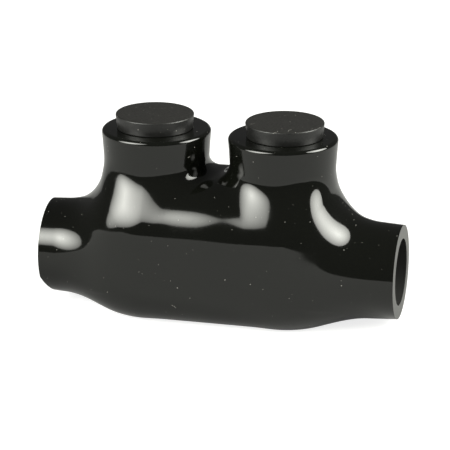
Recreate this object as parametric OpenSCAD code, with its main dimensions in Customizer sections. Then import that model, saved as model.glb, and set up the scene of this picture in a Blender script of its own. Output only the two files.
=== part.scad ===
// Insulated in-line splice connector: a dip-moulded vinyl cover over an aluminium bar,
// with a cable port at each end and a plugged tower over each set screw.
// Millimetres, +Z up, +X along the cables, origin under the middle of the overall box.

/* [Cable ports] */
// From the middle of the towers to the cut end of the left port
left_reach = 44.1; // [42:0.1:60]
// From the middle of the towers to the cut end of the right port
right_reach = 46.2; // [42:0.1:60]
// Height of the cable axis above the base
port_axis_z = 13.75; // [13:0.05:16]
// Outer radius of a port at its cut end
port_end_r = 11.75; // [10.5:0.05:13]
// Radius of the hole that takes the cable's jacket
port_bore_r = 8.35; // [7:0.05:9]
// Growth of a port's radius per millimetre away from its cut end
port_taper = 0.053; // [0.01:0.001:0.08]
// How far below the cable axis the knife trim of the left lip starts
trim_drop = 5.6; // [3:0.1:9]
// Lean of that trim from the square cut
trim_angle = 21; // [5:1:30]

/* [Access towers] */
// From an end of the aluminium bar to the axis of its screw and tower hole
screw_inset = 8.475; // [7.8:0.025:9]
// How much closer together the tower skins are, because the vinyl thickens between them
skin_draw = 0.8; // [0:0.05:2]
// Height of the rim the plugs rest on
rim_z = 46.7; // [42:0.1:56]
// Outer radius of a tower at its lip
rim_r = 13.6; // [12.6:0.05:14.5]
// Outer radius of a tower at its waist
waist_r = 12.85; // [12:0.05:14]
// Height where a tower starts to flare
waist_z = 27.7; // [26:0.1:39]
// Rounding of the lip
lip_r = 0.9; // [0.5:0.05:1.5]
// Radius of a tower's hole
tower_bore_r = 8.6; // [7.8:0.05:9.2]

/* [Moulded bar] */
// Vinyl beyond each end of the aluminium bar, under the fillet of the port
end_skin = 4.45; // [2:0.05:6]
// Half the width of the moulded bar at its widest
bar_side = 18.15; // [16:0.05:20]
// Height of the bar's ridge in the saddle between the towers
bar_top_z = 36.05; // [34:0.05:40]
// Rounding of the bar's upright corners
bar_corner_r = 10.4; // [6:0.1:12]
// How much longer than wide that rounding is
corner_stretch = 1.335; // [1:0.005:1.5]
// Rounding of the bar's bottom edges
bar_bottom_r = 9; // [5:0.1:12]
// Rounding of the bar's top edges
bar_top_r = 13.4; // [8:0.1:15]

/* [Vinyl fillets] */
// Fillet between a port and the bar
port_fillet_r = 8.3; // [5:0.1:10]
// Fillet between a tower and the port beside it
outer_fillet_r = 7.9; // [6:0.1:12]
// Fillet between a tower and the front of the bar
front_fillet_r = 4.5; // [3:0.1:8]
// Fillet in the saddle between the towers
saddle_fillet_r = 3.7; // [2.5:0.1:5]

/* [Connector block] */
// Length of the aluminium bar
block_len = 50; // [46:0.1:52]
// Width of the aluminium bar
block_w = 22; // [20:0.1:23]
// Height of the bar's underside above the base
block_base_z = 3.4; // [3:0.05:5]
// Height of the bar's top above the base
block_top_z = 28.2; // [26:0.05:30]
// Bevel along the extruded edges
block_bevel = 2.5; // [1:0.1:3.5]
// Bevel at the sawn ends
end_bevel = 1.5; // [0.5:0.1:2.5]
// Radius of a conductor bore
wire_bore_r = 6.4; // [5.5:0.05:7]
// Width of the lead-in cone at a bore's mouth
bore_lead = 0.9; // [0.3:0.1:1.5]
// Thickness of the web that stops the two conductors
wire_stop = 4; // [2:0.1:8]
// Gap between the block and the vinyl shrunk on it
cover_fit = 0.05; // [0.02:0.01:0.2]

/* [Set screws] */
// Thread radius of a set screw
screw_r = 7; // [6:0.05:7.5]
// Length of a set screw
screw_len = 12; // [10:0.1:14]
// Gap between the screw's tip and the crown of the bore when backed out
screw_rise = 0.6; // [0.3:0.05:1.5]
// How far the tapped hole goes below the cable axis
tap_depth = 2; // [0:0.1:3.5]
// Width across the flats of the key socket
socket_af = 6.35; // [5:0.05:8]
// Depth of the key socket
socket_depth = 8.4; // [6:0.1:9]
// Radial clearance of the thread
thread_fit = 0.06; // [0.03:0.01:0.15]
// Bevel at the screw's two ends
screw_bevel = 1.1; // [0.5:0.1:2]

/* [Access plugs] */
// Radius of the plug's head at its top
plug_top_r = 9.75; // [9.4:0.05:10.5]
// Radius of the head where it sits on the rim
plug_seat_r = 9.45; // [9.2:0.05:10.3]
// Height of the head above the rim
plug_head = 3.7; // [2.5:0.1:6]
// Length of the stem in the tower
plug_stem = 8; // [5:0.1:10]
// Wall of the hollow stem
plug_wall = 2.2; // [1.5:0.1:3]
// Radial clearance of the stem
plug_fit = 0.1; // [0.05:0.01:0.3]
// Bevel at the tip of the stem
plug_lead = 0.9; // [0.3:0.1:1.5]
// Bevel round the head's top edge
plug_edge = 0.2; // [0.1:0.05:0.5]

/* [Hidden] */
$fn = 96;

block_half = block_len / 2;
bar_half = block_half + end_skin;
hole_x = block_half - screw_inset;
tower_x = hole_x - skin_draw / 2;

// The skin is worked out a little long and then cut flat at the ends, the rims and the base
end_spare = 1;
flat_spare = 0.06;
skin_rim_z = rim_z + flat_spare;
skin_lip_z = skin_rim_z - lip_r;
skin_base_z = -flat_spare;

// A port grows over its taper run; its fillet grows over the join run, up to the bar's end
taper_run = 20;
join_run = 25.9;
join_lead = 2.3;
join_from = bar_half - join_lead - join_run;
plain_join_r = 4.1;

// Samples of the skin: rays in each stretch of the side outline, rows along a ray
port_rays = 12;
shoulder_rays = 18;
lip_rays = 3;
rim_rays = 14;
saddle_rays = 9;
middle_rays = 18;
base_rays = 22;
skin_rows = 10;
halvings = 24;
middle_spare = 0.01;
widest = 2 * bar_side;
longest = 2 * max(left_reach, right_reach);
edge_share = 0.9996;

vinyl_black = [0.05, 0.05, 0.05];
plug_black = [0.10, 0.10, 0.10];
aluminium_grey = [0.76, 0.77, 0.78];
screw_grey = [0.66, 0.67, 0.68];

function ease(t) = let (c = max(0, min(1, t))) c * c * (3 - 2 * c);

// Joins two distances to surfaces with a fillet of radius r, or meets them with a round edge
function round_join(a, b, r) = max(r, min(a, b)) - norm([max(r - a, 0), max(r - b, 0)]);
function round_meet(a, b, r) = min(-r, max(a, b)) + norm([max(r + a, 0), max(r + b, 0)]);

function port_r(x, reach) = port_end_r + port_taper * min(reach - x, taper_run);
function port_skin(p, reach) = norm([p.y, p.z - port_axis_z]) - port_r(p.x, reach);

// Distance to a rectangle with long round corners, seen from above
function plan_skin(p) =
    let (qx = (p.x - bar_half) / corner_stretch + bar_corner_r)
    let (qy = p.y - bar_side + bar_corner_r)
    min(max(qx, qy), 0) + norm([max(qx, 0), max(qy, 0)]) - bar_corner_r;

function bar_skin(p) =
    let (arch = round_meet(plan_skin(p), p.z - bar_top_z, bar_top_r))
    round_meet(arch, skin_base_z - p.z, bar_bottom_r);

function tower_r(z) =
    let (t = max(0, min(1, (z - waist_z) / (skin_lip_z - waist_z))))
    waist_r + (rim_r - waist_r) * t * t;

function tower_skin(p) =
    let (side = norm([p.x - tower_x, p.y]) - tower_r(p.z))
    max(round_meet(side, p.z - skin_rim_z, lip_r), port_axis_z - p.z);

function port_join_r(x) =
    plain_join_r + (port_fillet_r - plain_join_r) * ease((x - join_from) / join_run);

// The tower's fillet is tight in the saddle, wider at the front and widest above the port
function tower_join_r(x) =
    saddle_fillet_r
    + (front_fillet_r - saddle_fillet_r) * ease((x - tower_x + waist_r) / (waist_r * 2 / 3))
    + (outer_fillet_r - front_fillet_r) * ease((x - tower_x) / waist_r);

// Negative inside the vinyl's outer skin, for one half of the cover
function skin(p, reach) =
    let (run = round_join(port_skin(p, reach), bar_skin(p), port_join_r(p.x)))
    let (all = round_join(run, tower_skin(p), tower_join_r(p.x)))
    max(all, skin_base_z - p.z);

// Side outline: the skin at the middle plane, the long end of the port and the plane of symmetry
function outline(x, z, reach) = max(skin([x, 0, z], reach), -x, x - reach - end_spare);

// Rays start under the tower on the cable axis; each stretch of the outline has its own angles
function port_angle(turn, reach) =
    atan2(port_r(reach + end_spare, reach) * sin(turn), reach + end_spare - tower_x);
function rim_angle(turn) = 90 - atan2((rim_r - lip_r) * sin(turn), skin_rim_z - port_axis_z);
function lip_angle(turn, side) =
    atan2(skin_lip_z + lip_r * sin(turn) - port_axis_z, side * (rim_r - lip_r + lip_r * cos(turn)));
function middle_angle(z) = (360 + atan2(z - port_axis_z, -tower_x)) % 360;

function halve(lo, hi, left, x, z, reach) =
    left == 0 ? lo :
    let (mid = (lo + hi) / 2)
    skin([x, mid, z], reach) < 0 ? halve(mid, hi, left - 1, x, z, reach)
                                 : halve(lo, mid, left - 1, x, z, reach);

function ray_x(angle, s) = tower_x + s * cos(angle);
function ray_z(angle, s) = port_axis_z + s * sin(angle);

function ray_end(angle, lo, hi, left, reach) =
    left == 0 ? lo :
    let (mid = (lo + hi) / 2)
    outline(ray_x(angle, mid), ray_z(angle, mid), reach) < 0
        ? ray_end(angle, mid, hi, left - 1, reach)
        : ray_end(angle, lo, mid, left - 1, reach);

function saddle_top(lo, hi, left, reach) =
    left == 0 ? lo :
    let (mid = (lo + hi) / 2)
    skin([0, 0, mid], reach) < 0 ? saddle_top(mid, hi, left - 1, reach)
                                 : saddle_top(lo, mid, left - 1, reach);

// Steps from one angle to another, leaving out the last
function stretch(from, to, count) = [for (i = [0:count - 1]) from + (to - from) * i / count];

function ray_angles(reach, saddle_z) =
    let (port_top = port_angle(90, reach))
    let (lip_out = lip_angle(0, 1))
    let (lip_in = lip_angle(0, -1))
    let (saddle = middle_angle(saddle_z))
    let (foot_z = skin_base_z + middle_spare)
    let (foot = middle_angle(foot_z))
    concat(
        [for (i = [0:port_rays - 1]) port_angle(-90 + 180 * i / port_rays, reach)],
        stretch(port_top, lip_out, shoulder_rays),
        [for (i = [0:lip_rays - 1]) lip_angle(90 * i / lip_rays, 1)],
        [for (i = [0:rim_rays]) rim_angle(90 - 180 * i / rim_rays)],
        [for (i = [1:lip_rays - 1]) lip_angle(90 - 90 * i / lip_rays, -1)],
        stretch(lip_in, saddle, saddle_rays),
        [for (i = [0:middle_rays - 1])
            middle_angle(saddle_z + (foot_z - saddle_z) * (1 - cos(180 * i / middle_rays)) / 2)],
        stretch(foot, 360 + port_angle(-90, reach), base_rays));

first_middle = port_rays + shoulder_rays + lip_rays + rim_rays + lip_rays + saddle_rays;
last_middle = first_middle + middle_rays;
ray_count = last_middle + base_rays;
function is_middle(i) = let (j = i % ray_count) j >= first_middle && j <= last_middle;

// Points of a quarter of the skin, ray by ray, and the point on the start of the rays
function quarter(reach, way) =
    let (saddle_z = saddle_top(port_axis_z, rim_z, halvings, reach) - middle_spare)
    let (angles = ray_angles(reach, saddle_z))
    let (start_y = halve(0, widest, halvings, tower_x, port_axis_z, reach))
    concat(
        [for (i = [0:ray_count - 1])
            let (angle = angles[i])
            let (far = is_middle(i) ? -tower_x / cos(angle)
                                    : edge_share * ray_end(angle, 0, longest, halvings, reach))
            for (row = [1:skin_rows])
                let (s = far * sin(90 * row / skin_rows))
                let (x = is_middle(i) && row == skin_rows ? 0 : ray_x(angle, s))
                let (z = ray_z(angle, s))
                [way * x, halve(0, widest, halvings, x, z, reach), z]],
        [[way * tower_x, start_y, port_axis_z]]);

function front(points) = [for (p = points) [p.x, -p.y, p.z]];

// Faces look outward: half 0 is the right one, side 0 the front
quarter_size = ray_count * skin_rows + 1;
function corner(half, side, i, row) =
    let (j = i % ray_count)
    let (own = is_middle(j) && row == skin_rows ? 0 : half)
    (own * 2 + side) * quarter_size + (row == 0 ? quarter_size - 1 : j * skin_rows + row - 1);
function turned(face, flip) = flip ? [for (k = [len(face) - 1:-1:0]) face[k]] : face;

function grid_faces(half, side) =
    [for (i = [0:ray_count - 1], row = [0:skin_rows - 1])
        let (a = corner(half, side, i, row))
        let (b = corner(half, side, i + 1, row))
        let (c = corner(half, side, i + 1, row + 1))
        let (d = corner(half, side, i, row + 1))
        for (face = row == 0 ? [[a, c, d]] : [[a, b, c], [a, c, d]])
            turned(face, half == side)];

function edge_faces(half) =
    [for (i = [0:ray_count - 1])
        if (!(is_middle(i) && is_middle(i + 1)))
            let (a = corner(half, 0, i, skin_rows))
            let (b = corner(half, 0, i + 1, skin_rows))
            let (c = corner(half, 1, i + 1, skin_rows))
            let (d = corner(half, 1, i, skin_rows))
            for (face = [[a, b, c], [a, c, d]])
                turned(face, half == 0)];

module moulded_skin() {
    right = quarter(right_reach, 1);
    left = quarter(left_reach, -1);
    polyhedron(
        points = concat(front(right), right, front(left), left),
        faces = concat(
            grid_faces(0, 0), grid_faces(0, 1), grid_faces(1, 0), grid_faces(1, 1),
            edge_faces(0), edge_faces(1)));
}

// Puts the middle of the overall length over the origin
module in_frame() {
    translate([(left_reach - right_reach) / 2, 0, 0])
        children();
}

module along_x(from, to, r) {
    translate([from, 0, port_axis_z])
        rotate([0, 90, 0])
            cylinder(h = to - from, r = r);
}

// Extruded bar with bevelled edges and ends; grow adds a gap all round
module bar_solid(grow) {
    half_l = block_half + grow;
    half_w = block_w / 2 + grow;
    low = block_base_z - grow;
    high = block_top_z + grow;
    intersection() {
        rotate([90, 0, 90])
            linear_extrude(height = 2 * half_l, center = true)
                polygon([
                    [-half_w, low + block_bevel], [-half_w + block_bevel, low],
                    [half_w - block_bevel, low], [half_w, low + block_bevel],
                    [half_w, high - block_bevel], [half_w - block_bevel, high],
                    [-half_w + block_bevel, high], [-half_w, high - block_bevel]]);
        linear_extrude(height = rim_z)
            polygon([
                [-half_l, -half_w + end_bevel], [-half_l + end_bevel, -half_w],
                [half_l - end_bevel, -half_w], [half_l, -half_w + end_bevel],
                [half_l, half_w - end_bevel], [half_l - end_bevel, half_w],
                [-half_l + end_bevel, half_w], [-half_l, half_w - end_bevel]]);
    }
}

module left_lip_trim() {
    translate([-left_reach, 0, port_axis_z - trim_drop])
        rotate([0, -trim_angle, 0])
            translate([-port_end_r, -2 * port_end_r, -2 * port_end_r])
                cube([port_end_r, 4 * port_end_r, 2 * port_end_r]);
}

module insulating_cover() {
    color(vinyl_black)
        in_frame()
            difference() {
                intersection() {
                    moulded_skin();
                    translate([-left_reach, -widest, 0])
                        cube([left_reach + right_reach, 2 * widest, rim_z]);
                }
                bar_solid(cover_fit);
                along_x(-left_reach - end_spare, -block_half + end_bevel, port_bore_r);
                along_x(block_half - end_bevel, right_reach + end_spare, port_bore_r);
                for (side = [-1, 1])
                    translate([side * hole_x, 0, block_top_z - block_bevel])
                        cylinder(h = rim_z, r = tower_bore_r);
                left_lip_trim();
            }
}

module wire_bore() {
    along_x(wire_stop / 2, block_half + end_spare, wire_bore_r);
    translate([block_half - bore_lead, 0, port_axis_z])
        rotate([0, 90, 0])
            cylinder(h = 2 * bore_lead, r1 = wire_bore_r, r2 = wire_bore_r + 2 * bore_lead);
}

module connector_block() {
    color(aluminium_grey)
        in_frame()
            difference() {
                bar_solid(0);
                wire_bore();
                mirror([1, 0, 0])
                    wire_bore();
                for (side = [-1, 1])
                    translate([side * hole_x, 0, port_axis_z - tap_depth])
                        cylinder(h = rim_z, r = screw_r + thread_fit);
            }
}

module set_screw(side) {
    tip_z = port_axis_z + wire_bore_r + screw_rise;
    socket_r = socket_af / (2 * cos(30));
    translate([side * hole_x, 0, tip_z])
        difference() {
            rotate_extrude()
                polygon([
                    [0, 0], [screw_r - screw_bevel, 0], [screw_r, screw_bevel],
                    [screw_r, screw_len - screw_bevel], [screw_r - screw_bevel, screw_len],
                    [0, screw_len]]);
            translate([0, 0, screw_len - socket_depth])
                rotate([0, 0, 30])
                    cylinder(h = screw_len, r = socket_r, $fn = 6);
        }
}

module left_set_screw() {
    color(screw_grey)
        in_frame()
            set_screw(-1);
}

module right_set_screw() {
    color(screw_grey)
        in_frame()
            set_screw(1);
}

// Tapered head on a hollow stem that closes the tower
module access_plug(side) {
    stem_r = tower_bore_r - plug_fit;
    core_r = stem_r - plug_wall;
    translate([side * hole_x, 0, rim_z])
        rotate_extrude()
            polygon([
                [0, 0], [core_r - plug_wall / 2, 0], [core_r, -plug_wall / 2],
                [core_r, -plug_stem], [stem_r - plug_lead, -plug_stem],
                [stem_r, -plug_stem + plug_lead], [stem_r, 0], [plug_seat_r, 0],
                [plug_top_r, plug_head - plug_edge], [plug_top_r - plug_edge, plug_head],
                [0, plug_head]]);
}

module left_access_plug() {
    color(plug_black)
        in_frame()
            access_plug(-1);
}

module right_access_plug() {
    color(plug_black)
        in_frame()
            access_plug(1);
}

insulating_cover();
connector_block();
left_set_screw();
right_set_screw();
left_access_plug();
right_access_plug();
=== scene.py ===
"""Looks of an insulated in-line splice connector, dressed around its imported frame.

Black vinyl is dip-moulded over an aluminium bar, with a cable port at each end and a plugged tower
over each set screw. Every length is in millimetres until a mesh, a lamp or the camera is made.
"""

import logging
import math
from collections.abc import Callable
from dataclasses import dataclass, field
from enum import Enum, IntEnum
from functools import cache, partial
from typing import Any

import bmesh
import bpy
import numpy as np
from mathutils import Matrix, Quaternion, Vector

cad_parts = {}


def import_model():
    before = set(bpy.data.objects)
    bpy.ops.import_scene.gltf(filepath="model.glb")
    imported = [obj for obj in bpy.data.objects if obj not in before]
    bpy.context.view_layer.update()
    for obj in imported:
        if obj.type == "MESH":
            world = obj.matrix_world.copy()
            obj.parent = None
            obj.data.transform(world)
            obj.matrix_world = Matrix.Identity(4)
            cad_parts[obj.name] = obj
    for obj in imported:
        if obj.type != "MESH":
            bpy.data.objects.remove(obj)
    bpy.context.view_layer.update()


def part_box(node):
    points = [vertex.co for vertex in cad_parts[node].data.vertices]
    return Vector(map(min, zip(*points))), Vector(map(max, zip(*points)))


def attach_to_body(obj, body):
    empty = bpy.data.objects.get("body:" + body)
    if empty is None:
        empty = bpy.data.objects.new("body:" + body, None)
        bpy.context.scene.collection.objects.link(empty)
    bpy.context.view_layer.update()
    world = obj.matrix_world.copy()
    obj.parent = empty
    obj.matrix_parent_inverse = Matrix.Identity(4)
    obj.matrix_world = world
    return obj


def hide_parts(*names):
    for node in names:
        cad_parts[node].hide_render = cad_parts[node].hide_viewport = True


log = logging.getLogger("splice")

MM = 0.001
WELD = 1e-5
SHARP_DEG = 32.0
TURNS = 160
VINYL_IOR = 1.53
# Nearly all of a noise's values lie between these two.
NOISE_LOW, NOISE_HIGH = 0.3, 0.7

Array = np.ndarray
Pair = tuple[float, float]
Point = tuple[float, float, float]
Piece = bpy.types.Object
Node = bpy.types.Node
Socket = bpy.types.NodeSocket
Inputs = dict[str | int, Any]
Adder = Callable[..., Node]


class Side(Enum):
    """Which half of the connector a piece belongs to; the value is its sense along X."""

    LEFT = -1
    RIGHT = 1

    @property
    def word(self) -> str:
        """The side's name as the frame's nodes and bodies use it."""
        return self.name.lower()


class Way(Enum):
    """The axis that a turned shape is carried round."""

    ALONG_X = "x"
    ALONG_Z = "z"


class CoverFace(IntEnum):
    """Material slots of the cover."""

    DIPPED = 0
    CUT = 1
    INSIDE = 2


class BlockFace(IntEnum):
    """Material slots of the connector block."""

    EXTRUDED = 0
    SAWN = 1
    BORED = 2


class Stretch(IntEnum):
    """Stretches of a half's side outline, in order from the lowest point of the port's cut end."""

    PORT = 0
    SHOULDER = 1
    LIP_OUT = 2
    RIM = 3
    LIP_IN = 4
    SADDLE = 5
    MIDDLE = 6
    BASE = 7
    RISE = 8


def ease(t: Array) -> Array:
    """Smooth step: 3c^2 - 2c^3, where c is t held between 0 and 1."""
    c = np.clip(t, 0.0, 1.0)
    return c * c * (3.0 - 2.0 * c)


def round_join(a: Array, b: Array, r: Array | float) -> Array:
    """Distance to two bodies joined by a fillet.

    The larger of r and the nearer distance, less the length of the pair (r - a, r - b) where positive.

    Args:
        a: Distance to the first body, negative inside.
        b: Distance to the second body.
        r: Radius of the fillet.

    Returns:
        Distance to the joined body.
    """
    gap = np.hypot(np.maximum(r - a, 0.0), np.maximum(r - b, 0.0))
    return np.maximum(r, np.minimum(a, b)) - gap


def round_meet(a: Array, b: Array, r: float) -> Array:
    """Distance to what two bodies share, its edge rounded by r: round_join seen from inside."""
    return -round_join(-a, -b, r)


def run_along(track: Array) -> Array:
    """Length run from the first point of a track of (n, 2) points to each of them."""
    return np.concatenate([[0.0], np.cumsum(np.hypot(*np.diff(track, axis=0).T))])


def arc(centre: Pair, r: float, start: float, end: float, steps: int) -> Array:
    """Points on a circle of radius r about centre, from one angle in degrees to another.

    Args:
        centre: Middle of the circle, as (radius, height) of a profile.
        r: Radius of the circle.
        start: First angle, 0 along the first axis and 90 along the second.
        end: Last angle.
        steps: Number of chords.

    Returns:
        Array of (steps + 1, 2) points.
    """
    angle = np.radians(np.linspace(start, end, steps + 1))
    return np.array(centre) + r * np.stack([np.cos(angle), np.sin(angle)], axis=-1)


def full_turn(steps: int) -> Array:
    """Angles of even steps round a circle, the last equal to the first."""
    return np.append(np.linspace(0.0, 2.0 * np.pi, steps + 1)[:-1], 0.0)


def rings(angle: Array, radius: Array, height: Array, way: Way, origin: Point) -> Array:
    """Points on rings round an axis: the radius times cosine and sine of the angle, at the height.

    Args:
        angle: Angle of each column.
        radius: Radius of each row, or of each row and column.
        height: Height of each row.
        way: The axis.
        origin: Where radius and height are zero.

    Returns:
        Grid of (rows, columns, 3) points.
    """
    across, aside = radius * np.cos(angle), radius * np.sin(angle)
    along = np.broadcast_to(height, across.shape)
    order = (along, across, aside) if way is Way.ALONG_X else (across, aside, along)
    return np.stack(order, axis=-1) + np.array(origin)


def turned(profile: Array, way: Way, origin: Point) -> Array:
    """Surface of revolution: a ring for each (radius, height) of a profile, which ends on the axis."""
    return rings(full_turn(TURNS), profile[:, :1], profile[:, 1:], way, origin)


@dataclass
class Draft:
    """Points and faces of one piece, gathered in millimetres before they become a mesh."""

    points: list[Array] = field(default_factory=list)
    faces: list[tuple[Array, int]] = field(default_factory=list)
    size: int = 0

    def place(self, points: Array) -> Array:
        """Adds a grid of points.

        Args:
            points: Array whose last axis is x, y, z.

        Returns:
            The points' numbers, in the shape of the grid.
        """
        flat = points.reshape(-1, 3)
        numbers = np.arange(self.size, self.size + len(flat)).reshape(points.shape[:-1])
        self.points.append(flat)
        self.size += len(flat)
        return numbers

    def grid(self, numbers: Array, finish: int) -> None:
        """Adds a quad between each two rows and columns of a grid of point numbers."""
        corners = (numbers[:-1, :-1], numbers[:-1, 1:], numbers[1:, 1:], numbers[1:, :-1])
        self.faces.append((np.stack(corners, axis=-1).reshape(-1, 4), finish))

    def sheet(self, points: Array, finish: int = 0) -> "Draft":
        """Adds a grid of points with its quads, and returns the draft."""
        self.grid(self.place(points), finish)
        return self

    def cap(self, loop: Array, finish: int) -> None:
        """Adds one flat face inside a loop of point numbers."""
        self.faces.append((loop.reshape(1, -1), finish))

    def to_object(self, name: str, slots: int) -> Piece:
        """Welds equal points, drops repeated corners and makes the piece's object.

        Args:
            name: Name of the object and its mesh.
            slots: Number of material slots, left empty.

        Returns:
            The object, linked to the scene at the origin, with its faces outward.
        """
        points = np.concatenate(self.points)
        keys = np.round(points / WELD).astype(np.int64)
        _, first, number = np.unique(keys, axis=0, return_index=True, return_inverse=True)
        number = number.reshape(-1)
        corners, lengths, indexes = [], [], []
        for faces, finish in self.faces:
            welded = number[faces]
            keep = welded != np.roll(welded, 1, axis=1)
            count = keep.sum(axis=1)
            whole = count >= 3
            corners.append(welded[keep & whole[:, None]])
            lengths.append(count[whole])
            indexes.append(np.full(whole.sum(), finish))
        length = np.concatenate(lengths)
        mesh = bpy.data.meshes.new(name)
        mesh.vertices.add(len(first))
        mesh.vertices.foreach_set("co", (points[first] * MM).ravel())
        mesh.loops.add(int(length.sum()))
        mesh.polygons.add(len(length))
        mesh.polygons.foreach_set("loop_start", np.cumsum(length) - length)
        mesh.polygons.foreach_set("vertices", np.concatenate(corners))
        mesh.polygons.foreach_set("material_index", np.concatenate(indexes))
        mesh.update(calc_edges=True)
        for _ in range(slots):
            mesh.materials.append(None)
        shape = bmesh.new()
        shape.from_mesh(mesh)
        bmesh.ops.recalc_face_normals(shape, faces=shape.faces)
        shape.to_mesh(mesh)
        shape.free()
        piece = bpy.data.objects.new(name, mesh)
        bpy.context.scene.collection.objects.link(piece)
        return piece


def carve(piece: Piece, drafts: list[Draft]) -> None:
    """Cuts forms out of a piece.

    Args:
        piece: A closed piece.
        drafts: Closed forms, whose faces keep their slot numbers on the walls that they leave.
    """
    slots = len(piece.data.materials)
    tools = [draft.to_object(f"{piece.name}_tool_{i}", slots) for i, draft in enumerate(drafts)]
    for tool in tools:
        step = piece.modifiers.new(tool.name, "BOOLEAN")
        step.operation = "DIFFERENCE"
        step.solver = "MANIFOLD"
        step.object = tool
    graph = bpy.context.evaluated_depsgraph_get()
    carved = bpy.data.meshes.new_from_object(piece.evaluated_get(graph))
    carved.name = piece.name
    plain = piece.data
    piece.modifiers.clear()
    piece.data = carved
    for mesh in [plain, *(tool.data for tool in tools)]:
        bpy.data.meshes.remove(mesh)


@dataclass(frozen=True)
class SkinForm:
    """Outer form of the dipped vinyl: distances to four plain forms, joined by fillets.

    X is measured from the middle between the towers, and each half is worked out for x above zero.
    """

    tower_x: float
    rim_z: float
    bar_half: float
    port_axis_z: float
    port_end_r: float = 11.75
    port_taper: float = 0.053
    taper_run: float = 20.0
    rim_r: float = 13.6
    waist_r: float = 12.85
    waist_z: float = 27.7
    lip_r: float = 0.9
    bar_side: float = 18.15
    bar_top_z: float = 36.05
    bar_corner_r: float = 10.4
    corner_stretch: float = 1.335
    bar_bottom_r: float = 9.0
    bar_top_r: float = 13.4
    port_fillet_r: float = 8.3
    outer_fillet_r: float = 7.9
    front_fillet_r: float = 4.5
    saddle_fillet_r: float = 3.7
    join_run: float = 25.9
    join_lead: float = 2.3
    plain_join_r: float = 4.1
    fold: float = 0.8

    @property
    def flat_r(self) -> float:
        """Radius of a tower's flat rim, inside its round lip."""
        return self.rim_r - self.lip_r

    @property
    def centre(self) -> Array:
        """Where a tower's axis crosses the cables' axis, in the side view."""
        return np.array([self.tower_x, self.port_axis_z])

    def port_r(self, x: Array, reach: float) -> Array:
        """Radius of a port: grows with the distance from its cut end, as far as the taper runs."""
        return self.port_end_r + self.port_taper * np.minimum(reach - x, self.taper_run)

    def bar(self, x: Array, y: Array, z: Array) -> Array:
        """Distance to the bar: a rectangle with long round corners, rounded at top and bottom edges.

        In plan it is the length of the pair (qx, qy) where positive, or the larger of the two where both
        are negative, less the corner's radius.

        Args:
            x: Place along the cables.
            y: Place across.
            z: Height above the base.

        Returns:
            Distance at each point.
        """
        qx = (x - self.bar_half) / self.corner_stretch + self.bar_corner_r
        qy = y - self.bar_side + self.bar_corner_r
        outer = np.hypot(np.maximum(qx, 0.0), np.maximum(qy, 0.0))
        plan = np.minimum(np.maximum(qx, qy), 0.0) + outer - self.bar_corner_r
        arch = round_meet(plan, z - self.bar_top_z, self.bar_top_r)
        return round_meet(arch, -z, self.bar_bottom_r)

    def tower(self, x: Array, y: Array, z: Array) -> Array:
        """Distance to a tower: a cylinder that flares with the square of height to a round lip.

        Next to the middle plane x is bent into a parabola, so that the saddle has no crease there.

        Args:
            x: Place along the cables.
            y: Place across.
            z: Height above the base.

        Returns:
            Distance at each point.
        """
        lip_z = self.rim_z - self.lip_r
        t = np.clip((z - self.waist_z) / (lip_z - self.waist_z), 0.0, 1.0)
        radius = self.waist_r + (self.rim_r - self.waist_r) * t * t
        folded = np.where(x < self.fold, (x * x + self.fold**2) / (2.0 * self.fold), x)
        wall = round_meet(np.hypot(folded - self.tower_x, y) - radius, z - self.rim_z, self.lip_r)
        return np.maximum(wall, self.port_axis_z - z)

    def port_join_r(self, x: Array) -> Array:
        """Radius of the fillet between port and bar: grows over the join run, up to the bar's end."""
        grown = ease((x - (self.bar_half - self.join_lead - self.join_run)) / self.join_run)
        return self.plain_join_r + (self.port_fillet_r - self.plain_join_r) * grown

    def tower_join_r(self, x: Array) -> Array:
        """Fillet round a tower: tight in the saddle, wider at the front, widest over the port.

        It grows over two thirds of the waist's radius on the inner side, and over all of it on the outer.

        Args:
            x: Place along the cables.

        Returns:
            Radius at each place.
        """
        inner = ease((x - self.tower_x + self.waist_r) / (self.waist_r * 2.0 / 3.0))
        outer = ease((x - self.tower_x) / self.waist_r)
        return (
            self.saddle_fillet_r
            + (self.front_fillet_r - self.saddle_fillet_r) * inner
            + (self.outer_fillet_r - self.front_fillet_r) * outer
        )

    def distance(self, x: Array, y: Array, z: Array, reach: float) -> Array:
        """Distance to the whole skin, negative inside: port and bar joined, then the tower.

        Args:
            x: Place along the cables, from the middle, above zero.
            y: Place across, above zero.
            z: Height above the base.
            reach: From the middle to the cut end of this half's port.

        Returns:
            Distance at each point.
        """
        port = np.hypot(y, z - self.port_axis_z) - self.port_r(x, reach)
        run = round_join(port, self.bar(x, y, z), self.port_join_r(x))
        return round_join(run, self.tower(x, y, z), self.tower_join_r(x))


@dataclass(frozen=True)
class KnifeTrim:
    """Cut end of a port: square, or oblique from a drop below the cable axis down."""

    drop: float = 0.0
    lean_deg: float = 0.0

    def setback(self, below_axis: Array | float) -> Array:
        """How far the cut end lies back from square: the depth past the drop, times the lean's tangent."""
        return np.maximum(below_axis - self.drop, 0.0) * math.tan(math.radians(self.lean_deg))


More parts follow.
